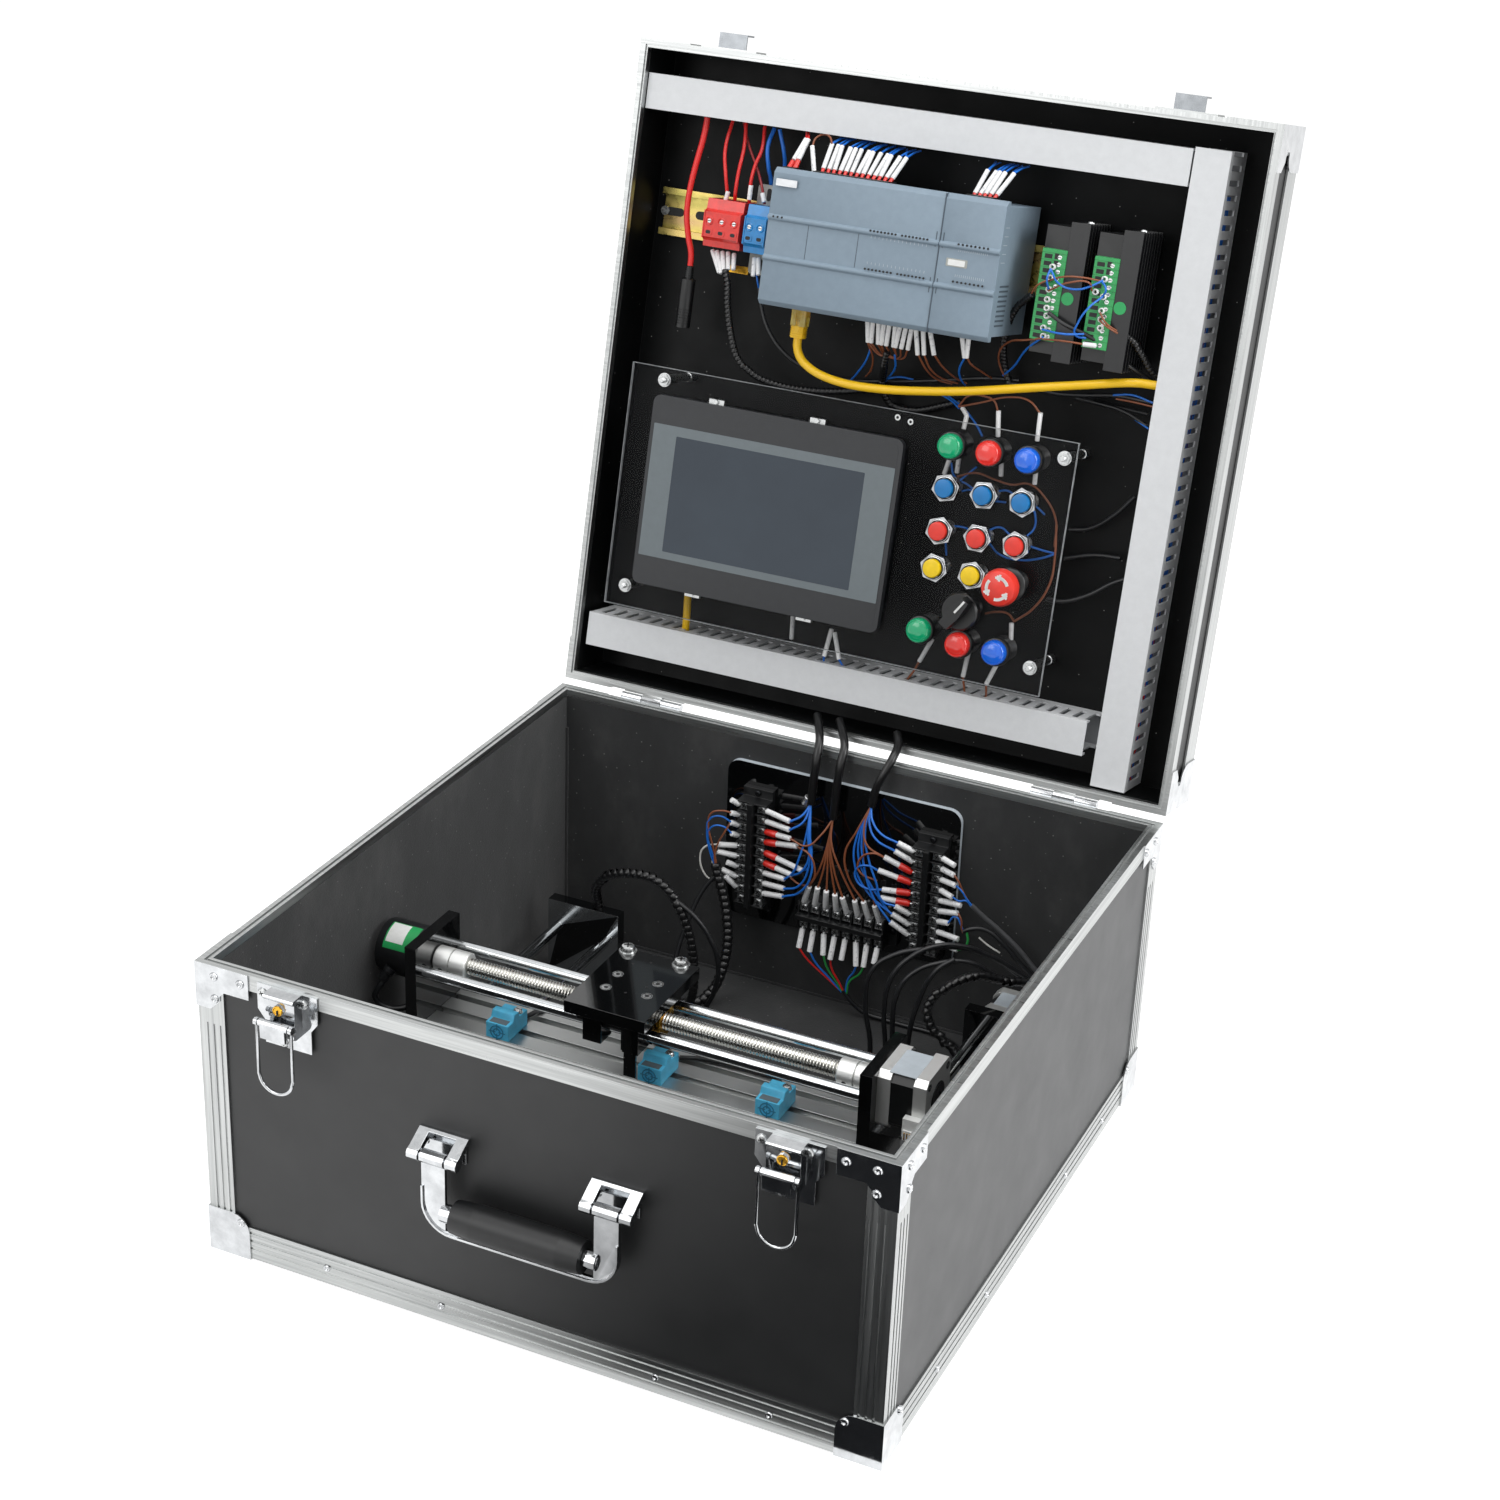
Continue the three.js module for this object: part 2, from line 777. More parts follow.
// Draw latch: in its own axes y is measured from the trim's face and z from the floor
function latchPlate() {
  const { plateHalf, plateWaist, plateTop, plateShoulder, plateNeck, plateFoot } = LATCH;
  const wide = [[plateHalf, plateTop], [plateHalf, plateShoulder]];
  const right = [...wide, [plateWaist, plateNeck], [plateWaist, plateFoot]];
  const shape = outline([...right, ...right.map(([x, z]) => [-x, z]).reverse()]);
  const plate = prism('y', shape, [-LATCH.sheet, 0]);
  const box = block([-LATCH.boxHalf, LATCH.boxHalf], [-LATCH.boxOut, 0], [LATCH.boxFoot, plateTop]);
  const lipPlace = [-LATCH.boxOut, plateTop - LATCH.lip];
  const lip = rod('x', LATCH.lip, [-LATCH.boxHalf, LATCH.boxHalf], lipPlace, SMALL_SIDES);
  const lockDeep = [-LATCH.boxOut - LATCH.lockOut, -LATCH.boxOut];
  const lock = rod('y', LATCH.lockRadius, lockDeep, [0, LATCH.lockZ], SMALL_SIDES);
  const ears = SIDES.map((side) => {
    const inner = side * (LATCH.leverHalf + RUNNING_GAP);
    const outer = inner + side * LATCH.ear;
    const root = block([inner, outer], [-LATCH.pivotOut, 0], [LATCH.pivotZ - LATCH.knuckle, LATCH.boxFoot]);
    const eye = rod('x', LATCH.knuckle, [inner, outer], [-LATCH.pivotOut, LATCH.pivotZ], SMALL_SIDES);
    return join(root, eye);
  });
  const half = LATCH.leverHalf + RUNNING_GAP + LATCH.ear;
  const pin = rod('x', LATCH.pin, [-half, half], [-LATCH.pivotOut, LATCH.pivotZ], SMALL_SIDES);
  return join(plate, box, lip, lock, ...ears, pin);
}

// The lever is undone: it stands off the box, and the bail hangs from its barrel
function latchLever() {
  const { pivotOut, pivotZ, leverTop, leverFlange } = LATCH;
  const half = LATCH.leverHalf;
  const knuckle = rod('x', LATCH.knuckle, [-half, half], [-pivotOut, pivotZ], SMALL_SIDES);
  const side = [...leverTop, ...leverFlange].map(([out, rise]) => [-pivotOut - out, pivotZ + rise]);
  const bailPlace = [-LATCH.bailOut, LATCH.bailZ];
  const barrel = rod('x', LATCH.eye, [-half - LATCH.ear, half + LATCH.ear], bailPlace, SMALL_SIDES);
  const reach = LATCH.bailHalf + LATCH.bailWire;
  const pins = rod('x', LATCH.pin, [-reach, reach], bailPlace, SMALL_SIDES);
  const boreSpan = [-half - OVERRUN, half + OVERRUN];
  const bore = rod('x', LATCH.pin + RUNNING_GAP, boreSpan, [-pivotOut, pivotZ], SMALL_SIDES);
  return join(cut(join(knuckle, prism('x', outline(side), [-half, half])), bore), barrel, pins);
}

function latchBail() {
  const { bailHalf, bailWire, bailOut, bailZ, bailDrop, eye, pin } = LATCH;
  const straight = bailDrop - bailHalf - bailWire;
  const bend = [0, 0.2, 0.4, 0.6, 0.8, 1].map((share) => share * Math.PI);
  const foot = bailZ - straight;
  const round = bend.map((a) => [-bailHalf * Math.cos(a), -bailOut, foot - bailHalf * Math.sin(a)]);
  const legTop = bailZ - pin - RUNNING_GAP - bailWire / 2;
  const legs = SIDES.map((side) => {
    return rod('z', bailWire, [foot, legTop], [side * bailHalf, -bailOut], WIRE_SIDES);
  });
  const eyes = SIDES.map((side) => {
    const span = [side * bailHalf - bailWire, side * bailHalf + bailWire];
    const disc = rod('x', eye, span, [-bailOut, bailZ], SMALL_SIDES);
    const through = [span[0] - OVERRUN, span[1] + OVERRUN];
    const hole = rod('x', pin + RUNNING_GAP, through, [-bailOut, bailZ], SMALL_SIDES);
    return cut(disc, hole);
  });
  return join(tube(round, bailWire, WIRE_SIDES, 16), ...legs, ...eyes);
}

function buildLatches(base) {
  for (const [side, word] of [[-1, 'left'], [1, 'right']]) {
    const latch = groupIn(base, side * LATCH.spread, -trimY, 0);
    piece(`latch_plate_${word}`, latchPlate(), CHROME, latch);
    piece(`latch_lever_${word}`, latchLever(), CHROME, latch);
    piece(`latch_bail_${word}`, latchBail(), CHROME, latch);
  }
}

// Carry handle: y is measured from the board's face
function handleMount() {
  const { mountTop, mountFoot, mountSheet, pivotOut, pivotZ, barrel } = HANDLE;
  const slope = outline([
    [0, mountTop],
    [-mountSheet, mountTop],
    [-pivotOut, pivotZ + barrel],
    [-pivotOut, pivotZ],
    [0, mountTop - barrel],
  ]);
  const half = HANDLE.mountHalf;
  const barrels = rod('x', barrel, [-half, half], [-pivotOut, pivotZ], SMALL_SIDES);
  const reach = HANDLE.windowHalf;
  const windowDeep = [-pivotOut - barrel - OVERRUN, -mountSheet * 2];
  const window = block([-reach, reach], windowDeep, [0, mountTop + OVERRUN]);
  const wallPlate = block([-half + mountSheet, half - mountSheet], [-mountSheet, 0], [mountFoot, mountTop]);
  const pin = rod('x', HANDLE.pin, [-half, half], [-pivotOut, pivotZ], SMALL_SIDES);
  return join(cut(join(prism('x', slope, [-half, half]), barrels), window), wallPlate, pin);
}

// The bail's front outline: two legs, two bends and the foot
function handleOutline(inset) {
  const half = HANDLE.spread + HANDLE.legHalf - inset;
  const radius = HANDLE.bend - inset;
  const foot = HANDLE.foot + inset;
  const shape = new THREE.Shape();
  shape.moveTo(half, HANDLE.pivotZ);
  shape.lineTo(-half, HANDLE.pivotZ);
  shape.lineTo(-half, foot + radius);
  shape.absarc(-half + radius, foot + radius, radius, Math.PI, Math.PI * 1.5, false);
  shape.lineTo(half - radius, foot);
  shape.absarc(half - radius, foot + radius, radius, -Math.PI / 2, 0, false);
  return shape;
}

function carryHandle() {
  const y = -HANDLE.pivotOut;
  const gripReach = HANDLE.spread - HANDLE.legHalf;
  const gripRoom = HANDLE.gripZ - HANDLE.gripRadius - RUNNING_GAP;
  const sheet = prism('y', handleOutline(0), [y - HANDLE.sheet / 2, y + HANDLE.sheet / 2]);
  const middleTall = [gripRoom, HANDLE.pivotZ + OVERRUN];
  const middle = block([-gripReach, gripReach], [y - OVERRUN, y + OVERRUN], middleTall);
  const deep = [y - HANDLE.flangeDeep / 2, y + HANDLE.flangeDeep / 2];
  const rim = cut(
    prism('y', handleOutline(0), deep),
    prism('y', handleOutline(HANDLE.flangeSheet), [deep[0] - OVERRUN, deep[1] + OVERRUN]),
    block([-plateX, plateX], [deep[0] - OVERRUN, deep[1] + OVERRUN], [HANDLE.pivotZ - HANDLE.bend, plateX]),
  );
  const knuckles = SIDES.map((side) => {
    const span = [side * HANDLE.spread - HANDLE.legHalf, side * HANDLE.spread + HANDLE.legHalf];
    return rod('x', HANDLE.barrel, span, [y, HANDLE.pivotZ], SMALL_SIDES);
  });
  const bore = rod('x', HANDLE.pin + RUNNING_GAP, [-plateX, plateX], [y, HANDLE.pivotZ], SMALL_SIDES);
  const coreSpan = [-gripReach - OVERRUN, gripReach + OVERRUN];
  const core = rod('x', HANDLE.core, coreSpan, [y, HANDLE.gripZ], SMALL_SIDES);
  const bosses = SIDES.map((side) => {
    const span = [side * (HANDLE.gripHalf + RUNNING_GAP), side * (gripReach + HANDLE.sheet)];
    return rod('x', HANDLE.boss, span, [y, HANDLE.gripZ], SMALL_SIDES);
  });
  return join(cut(join(cut(sheet, middle), rim, ...knuckles), bore), core, ...bosses);
}

function handleGrip() {
  const bore = HANDLE.core + RUNNING_GAP;
  const { gripHalf, gripRadius, gripEnd } = HANDLE;
  const bevel = gripRadius - gripEnd;
  const profile = [
    [bore, -gripHalf],
    [gripEnd, -gripHalf],
    [gripRadius - bevel / 4, -gripHalf + bevel],
    [gripRadius, 0],
    [gripRadius - bevel / 4, gripHalf - bevel],
    [gripEnd, gripHalf],
    [bore, gripHalf],
    [bore, -gripHalf],
  ];
  const lathe = new THREE.LatheGeometry(profile.map(([r, a]) => new THREE.Vector2(r, a)), ROUND_SIDES);
  return toSolid(lathe.rotateZ(-Math.PI / 2).translate(0, -HANDLE.pivotOut, HANDLE.gripZ));
}

function buildHandle(base) {
  const handle = groupIn(base, 0, -boardY, 0);
  for (const [side, word] of [[-1, 'left'], [1, 'right']]) {
    piece(`handle_mount_${word}`, handleMount().translate([side * HANDLE.spread, 0, 0]), CHROME, handle);
  }
  piece('carry_handle', carryHandle(), CHROME, handle);
  piece('handle_grip', handleGrip(), GRIP_PLASTIC, handle);
}

// Barrier strip along x, with y measured from the wiring board's face
function barrierStrip(poles) {
  const half = (poles * BOARD.pole) / 2;
  const wide = [-BOARD.stripWide / 2, BOARD.stripWide / 2];
  const body = block([-half, half], [-BOARD.stripDeep, 0], wide);
  const rib = block([-half, half], [-BOARD.ribDeep, 0], [-BOARD.ribWide / 2, BOARD.ribWide / 2]);
  const walls = [...Array(poles + 1).keys()].map((k) => {
    const x = -half + (k * (2 * half - BOARD.wall)) / poles;
    return block([x, x + BOARD.wall], [-BOARD.wallDeep, 0], wide);
  });
  const lugDeep = [-BOARD.lugDeep, 0];
  const ends = SIDES.map((side) => block([side * half, side * (half + BOARD.lug)], lugDeep, wide));
  return join(body, rib, ...walls, ...ends);
}

function buildWiringBoard(base) {
  const board = groupIn(base, 0, wallY, 0);
  const plate = roundedRectangle([BOARD.left, BOARD.right], [BOARD.foot, BOARD.top], BOARD.corner);
  piece('terminal_board', prism('y', plate, [-BOARD.sheet, 0]), BLACK_METAL, board);
  for (const { name, centre, poles, upright } of STRIPS) {
    const strip = barrierStrip(poles);
    const turned = upright ? strip.rotate([0, 90, 0]) : strip;
    piece(name, turned.translate([centre[0], -BOARD.sheet, centre[1]]), BLACK_METAL, board);
  }
}

// Floor guides, along y, with z measured from the floor board
const guideAxis = GUIDE.axisZ - floorZ;
const guideTop = GUIDE.top - floorZ;

function floorGuide(hasScrew) {
  const half = GUIDE.plateWide / 2;
  const front = block([-half, half], [GUIDE.front, GUIDE.front + GUIDE.plateThick], [0, guideTop]);
  const back = block([-half, half], [GUIDE.back - GUIDE.plateThick, GUIDE.back], [0, guideTop]);
  const place = (side) => [side * GUIDE.rodSpread, guideAxis];
  const rods = SIDES.map((side) => rod('y', GUIDE.rodRadius, [GUIDE.front, GUIDE.back], place(side)));
  const whole = join(front, back, ...rods);
  if (!hasScrew) return whole;
  const frontBore = [GUIDE.front - OVERRUN, GUIDE.front + GUIDE.plateThick + OVERRUN];
  const backBore = [GUIDE.back - GUIDE.plateThick - OVERRUN, GUIDE.back + OVERRUN];
  return cut(
    whole,
    rod('y', DRIVE.floorScrewRadius + RUNNING_GAP, frontBore, [0, guideAxis]),
    rod('y', DRIVE.shaft + RUNNING_GAP, backBore, [0, guideAxis]),
  );
}

function motor(axis, [from, to], place) {
  const shape = squareWithChamfers(DRIVE.motorSide / 2, DRIVE.motorChamfer, place);
  return prism(axis, shape, [from, to]);
}

function floorScrew() {
  const front = GUIDE.front + RUNNING_GAP;
  const plateFace = GUIDE.back - GUIDE.plateThick - RUNNING_GAP;
  const couplingFront = plateFace - DRIVE.couplingLong;
  const place = [0, guideAxis];
  return join(
    rod('y', DRIVE.floorScrewRadius, [front, couplingFront + OVERRUN], place),
    rod('y', DRIVE.coupling, [couplingFront, plateFace], place),
    rod('y', DRIVE.shaft, [plateFace - OVERRUN, GUIDE.back - RUNNING_GAP], place),
  );
}

function buildFloorGuides(base) {
  const left = groupIn(base, GUIDE.leftX, 0, floorZ);
  piece('y_guide_left', floorGuide(false), BLACK_METAL, left);
  const right = groupIn(base, GUIDE.rightX, 0, floorZ);
  piece('y_guide_right', floorGuide(true), BLACK_METAL, right);
  piece('y_screw', floorScrew(), STEEL, right);
  const motorDeep = [GUIDE.back, GUIDE.back + DRIVE.motorLong];
  piece('y_motor', motor('y', motorDeep, [0, guideAxis]), BLACK_METAL, right);
}

// Cross stage
function stageBed() {
  const { half, bedThick, slotPitch, slotMouth, slotHalf, slotLip, slotDeep } = STAGE;
  const from = STAGE.left + STAGE.plateThick;
  const to = STAGE.right - STAGE.plateThick;
  const bed = block([from, to], [-half, half], [0, bedThick]);
  const long = [from - OVERRUN, to + OVERRUN];
  const slots = [-1, 0, 1].map((k) => {
    const y = k * slotPitch;
    const mouth = block(long, [y - slotMouth, y + slotMouth], [bedThick - slotDeep, bedThick + OVERRUN]);
    return join(mouth, block(long, [y - slotHalf, y + slotHalf], [bedThick - slotDeep, bedThick - slotLip]));
  });
  const middle = bedThick / 2;
  const sides = SIDES.map((side) => {
    const deep = [side * (half - slotLip), side * (half + OVERRUN)];
    return block(long, deep, [middle - slotMouth, middle + slotMouth]);
  });
  return cut(bed, ...slots, ...sides);
}

function stageFrame() {
  const { left, right, plateThick, plateTall, half, axis } = STAGE;
  const leftPlate = block([left, left + plateThick], [-half, half], [0, plateTall]);
  const rightPlate = block([right - plateThick, right], [-half, half], [0, plateTall]);
  const place = (side) => [side * STAGE.rodSpread, axis];
  const rods = SIDES.map((side) => rod('x', STAGE.rodRadius, [left, right], place(side)));
  const bore = rod('x', DRIVE.shaft + RUNNING_GAP, [left - OVERRUN, right + OVERRUN], [0, axis]);
  return cut(join(leftPlate, rightPlate, ...rods), bore);
}

function splitCoupling([from, to], place) {
  const middle = (from + to) / 2;
  const slitSpan = [middle - DRIVE.slit / 2, middle + DRIVE.slit / 2];
  const neck = rod('x', DRIVE.coupling - DRIVE.slitDeep, slitSpan, place);
  const slit = cut(rod('x', DRIVE.coupling + OVERRUN, slitSpan, place), neck);
  return cut(rod('x', DRIVE.coupling, [from, to], place), slit);
}

function stageScrew() {
  const place = [0, STAGE.axis];
  const leftFace = STAGE.left + STAGE.plateThick + RUNNING_GAP;
  const rightFace = STAGE.right - STAGE.plateThick - RUNNING_GAP;
  const screwFrom = leftFace + DRIVE.couplingLong;
  const screwTo = rightFace - DRIVE.couplingLong;
  return join(
    rod('x', DRIVE.shaft, [STAGE.left + RUNNING_GAP, leftFace + OVERRUN], place),
    splitCoupling([leftFace, screwFrom], place),
    rod('x', DRIVE.screwRadius, [screwFrom - OVERRUN, screwTo + OVERRUN], place),
    splitCoupling([screwTo, rightFace], place),
    rod('x', DRIVE.shaft, [rightFace - OVERRUN, STAGE.right - RUNNING_GAP], place),
  );
}

function stageCarriage() {
  const c = CARRIAGE;
  const underPlate = c.top - c.plate;
  const plate = block([c.left, c.right], [-c.half, c.half], [underPlate, c.top]);
  const spine = block([c.spineLeft, c.spineRight], [-c.spineHalf, c.spineHalf], [c.spineFoot, underPlate]);
  const bearings = c.bearingLefts.flatMap((left) =>
    SIDES.map((side) => {
      const deep = [side * c.bearingIn, side * c.bearingOut];
      return block([left, left + c.bearingLong], deep, [c.bearingFoot, underPlate]);
    }),
  );
  const bracketX = [c.spineRight - c.bearingLong, c.spineRight];
  const bracket = block(bracketX, [-c.bracketHalf, c.bracketHalf], [c.bracketFoot, underPlate]);
  const nut = rod('x', c.nutRadius, [c.spineRight, c.spineRight + c.nutThick], [0, STAGE.axis]);
  const flagDeep = [-c.bearingOut - c.flagThick, -c.bearingOut];
  const flag = block([c.flagLeft, c.flagRight], flagDeep, [c.bearingFoot, underPlate]);
  const flagTip = block([c.flagTipLeft, c.flagTipRight], flagDeep, [c.flagFoot, underPlate]);
  const long = [c.left - OVERRUN, c.right + OVERRUN];
  const rodBores = SIDES.map((side) => {
    const place = [side * STAGE.rodSpread, STAGE.axis];
    return rod('x', STAGE.rodRadius + RUNNING_GAP, long, place);
  });
  const screwBore = rod('x', DRIVE.screwRadius + RUNNING_GAP, long, [0, STAGE.axis]);
  return cut(join(plate, spine, ...bearings, bracket, nut, flag, flagTip), ...rodBores, screwBore);
}

function proximitySensor() {
  const { wide, long, tall, loopFrom, loopTo, loopTall, slope } = SENSOR;
  const rear = [[long, 0], [long, tall], [loopTo + slope, tall], [loopTo, loopTall]];
  const side = outline([[0, 0], ...rear, [loopFrom, loopTall], [loopFrom - slope, tall], [0, tall]]);
  return prism('x', side, [-wide / 2, wide / 2]);
}

// A block on a floor guide, with its top against the bed
function guideShoe(screwBore) {
  const long = [-STAGE.half - OVERRUN, STAGE.half + OVERRUN];
  const axis = GUIDE.axisZ - STAGE.z;
  const body = block([-SHOE.half, SHOE.half], [-STAGE.half, STAGE.half], [-SHOE.tall, 0]);
  const place = (side) => [side * GUIDE.rodSpread, axis];
  const bores = SIDES.map((side) => rod('y', GUIDE.rodRadius + RUNNING_GAP, long, place(side)));
  const screw = rod('y', DRIVE.floorScrewRadius + RUNNING_GAP, long, [0, axis]);
  return screwBore ? cut(body, ...bores, screw) : cut(body, ...bores);
}

function buildStage(base) {
  const stage = groupIn(base, 0, STAGE.y, STAGE.z);
  const place = [0, STAGE.axis];
  piece('x_bed', stageBed(), ALUMINIUM, stage);
  piece('x_frame', stageFrame(), BLACK_METAL, stage);
  piece('x_screw', stageScrew(), STEEL, stage);
  piece('x_carriage', stageCarriage(), BLACK_METAL, stage);
  piece('x_motor', motor('x', [STAGE.right, STAGE.right + DRIVE.motorLong], place), BLACK_METAL, stage);
  const encoder = rod('x', DRIVE.encoderRadius, [STAGE.left - DRIVE.encoderLong, STAGE.left], place);
  piece('x_encoder', encoder, BLACK_METAL, stage);
  SENSOR_X.forEach((x, k) => {
    const sensor = proximitySensor().translate([x, SENSOR.frontY, STAGE.bedThick]);
    piece(SENSOR_NAMES[k], sensor, SENSOR_BLUE, stage);
  });
  piece('y_shoe_left', guideShoe(false).translate([GUIDE.leftX, 0, 0]), BLACK_METAL, stage);
  piece('y_shoe_right', guideShoe(true).translate([GUIDE.rightX, 0, 0]), BLACK_METAL, stage);
}

// Lid of the case, in its own axes
function lidRing(outer, inner, [y0, y1]) {
  const [outerX, outerLow, outerHigh] = outer;
  const [innerX, innerLow, innerHigh] = inner;
  const hole = block([-innerX, innerX], [y0 - OVERRUN, y1 + OVERRUN], [innerLow, innerHigh]);
  return cut(block([-outerX, outerX], [y0, y1], [outerLow, outerHigh]), hole);
}

const lidTrimRing = [trimX, lidTrimLow, lidTrimHigh];
const lidBoardRing = [boardX, lidBoardLow, lidBoardHigh];
const lidInnerRing = [lidInnerX, lidInnerLow, lidInnerHigh];
const shrink = ([x, low, high], inset) => [x - inset, low + inset, high - inset];

function lidBoards() {
  const [x, low, high] = shrink(lidBoardRing, RUNNING_GAP);
  const tray = block([-x, x], [TRIM.crown + RUNNING_GAP, lidBoardBack - RUNNING_GAP], [low, high]);
  return cut(tray, block([-lidInnerX, lidInnerX], [-OVERRUN, lidFloor], [lidInnerLow, lidInnerHigh]));
}

function lidHinge(x) {
  const span = [-hingeThird / 2 + RUNNING_GAP, hingeThird / 2 - RUNNING_GAP];
  const knuckle = hingeKnuckle(span, false);
  const axisY = HINGE.axisUp - CASE.closedGap;
  const faceZ = HINGE.axisOut + lidTrimLow;
  const start = HINGE.bore + RUNNING_GAP;
  const half = HINGE.length / 2;
  const foot = faceZ - PLATE.sheet - HINGE.leaf / 2;
  const leaf = block([-half, half], [HINGE.knuckle, HINGE.leafReach], [foot, faceZ]);
  const bridge = block(span, [0, HINGE.knuckle + RUNNING_GAP], [start, faceZ]);
  return join(knuckle, leaf, bridge).translate([x, axisY, -HINGE.axisOut]);
}

function lidCatch(x) {
  const { plateHalf, boxHalf, sheet, catchStart, catchReach, hookOut, hookDeep } = LATCH;
  const plateY = [catchStart, catchStart + catchReach];
  const plate = block([x - plateHalf, x + plateHalf], plateY, [lidTrimHigh, lidTrimHigh + sheet]);
  const hookY = catchStart + catchReach - hookDeep;
  const hookTop = CASE.lidHeight + hookOut;
  const hook = block([x - boxHalf, x + boxHalf], [hookY, hookY + hookDeep], [lidTrimHigh, hookTop]);
  const back = [hookY + sheet, hookY + hookDeep + OVERRUN];
  const throat = block([x - plateX, x + plateX], back, [lidTrimHigh + sheet, hookTop - sheet]);
  return join(plate, cut(hook, throat));
}

function lidFrame() {
  const crown = lidRing(lidTrimRing, lidInnerRing, [0, TRIM.crown]);
  const grooveOuter = shrink(lidTrimRing, TRIM.grooveInset);
  const grooveInner = shrink(grooveOuter, TRIM.grooveWide);
  const groove = lidRing(grooveOuter, grooveInner, [-OVERRUN, TRIM.grooveDeep]);
  const skirt = lidRing(lidTrimRing, lidBoardRing, [TRIM.crown, TRIM.crown + TRIM.skirt]);
  const edge = lidRing(lidTrimRing, lidBoardRing, [lidTrimBack - TRIM.face, lidTrimBack]);
  const backEdge = lidRing(lidTrimRing, shrink(lidTrimRing, TRIM.face), [lidBoardBack, lidTrimBack]);
  const ends = [
    { end: -1, face: 0, outer: lidTrimLow, inner: lidBoardLow },
    { end: 1, face: CASE.lidHeight, outer: lidTrimHigh, inner: lidBoardHigh },
  ];
  const posts = ends.flatMap(({ end, outer, inner }) =>
    SIDES.map((sx) => {
      const deep = [TRIM.crown, lidTrimBack];
      const wide = block([sx * (trimX - TRIM.post), sx * trimX], deep, [outer, inner]);
      return join(wide, block([sx * boardX, sx * trimX], deep, [outer, outer - end * TRIM.post]));
    }),
  );
  const corners = ends.flatMap(({ end, face, outer }) =>
    SIDES.flatMap((sx) => {
      const thick = [face, outer].sort((a, b) => a - b);
      const across = [sx * trimX, sx * plateX].sort((a, b) => a - b);
      const flip = (shape) => outline(shape.getPoints().map(({ x, y }) => [y, x]));
      const low = cornerPlateOutline(1, 0, face, -end);
      const side = outline(low.getPoints().map(({ x, y }) => [-x, y]));
      const wide = prism('z', cornerPlateOutline(sx, plateX, 0, 1), thick);
      const sideCap = flip(capOutline(end, face, CASE.lidDepth, -1));
      const wideCap = prism('z', capOutline(sx, plateX, CASE.lidDepth, -1), thick);
      const lidCap = [face, face - end * PLATE.capReach];
      const capAcross = [sx * (plateX - PLATE.capReach), sx * plateX];
      const backCap = block(capAcross, [lidTrimBack, CASE.lidDepth], lidCap);
      return [wide, prism('x', side, across), prism('x', sideCap, across), wideCap, backCap];
    }),
  );
  const hinges = SIDES.map((side) => lidHinge(side * HINGE.spread));
  const catches = SIDES.map((side) => lidCatch(side * LATCH.spread));
  return join(cut(crown, groove), skirt, edge, backEdge, ...posts, ...corners, ...hinges, ...catches);
}

// Wiring ducts stand on the lid's back board
const ductFront = lidFloor - DUCT.deep;

function duct(wide, tall, hollow) {
  const outer = block(wide, [ductFront, lidFloor - RUNNING_GAP], tall);
  return cut(outer, hollow);
}

function buildDucts(lid) {
  const inside = [ductFront + DUCT.wall, lidFloor - RUNNING_GAP - DUCT.wall];
  const levels = [
    ['duct_top', DUCT.topFrom, DUCT.topTo, DUCT.topZ],
    ['duct_bottom', DUCT.bottomFrom, DUCT.bottomTo, DUCT.bottomZ],
  ];
  for (const [name, from, to, z] of levels) {
    const hollow = block([from - OVERRUN, to + OVERRUN], inside, [z + DUCT.wall, z + DUCT.wide - DUCT.wall]);
    piece(name, duct([from, to], [z, z + DUCT.wide], hollow), DUCT_PLASTIC, lid);
  }
  const x = DUCT.sideX;
  const across = [x + DUCT.wall, x + DUCT.wide - DUCT.wall];
  const hollow = block(across, inside, [DUCT.sideFrom - OVERRUN, DUCT.sideTo + OVERRUN]);
  piece('duct_side', duct([x, x + DUCT.wide], [DUCT.sideFrom, DUCT.sideTo], hollow), DUCT_PLASTIC, lid);
}

function buildRail(lid) {
  const { tall, deep, sheet, brim, centreZ } = RAIL;
  const back = lidFloor - RUNNING_GAP;
  const front = back - deep;
  const half = tall / 2;
  const top = [
    [front, half],
    [front, half - brim],
    [back - sheet, half - brim],
    [back - sheet, 0],
    [back, 0],
    [back, half - brim + sheet],
    [front + sheet, half - brim + sheet],
    [front + sheet, half],
  ];
  const points = top.slice(0, 3).concat(top.slice(0, 3).map(([y, z]) => [y, -z]).reverse());
  const rear = top.slice(5).map(([y, z]) => [y, -z]).reverse().concat(top.slice(5));
  const shape = outline([...points, ...rear].map(([y, z]) => [y, z + centreZ]));
  piece('din_rail', prism('x', shape, [RAIL.from, RAIL.to]), PASSIVATED_STEEL, lid);
}

const railFront = lidFloor - RUNNING_GAP - RAIL.deep - RUNNING_GAP;

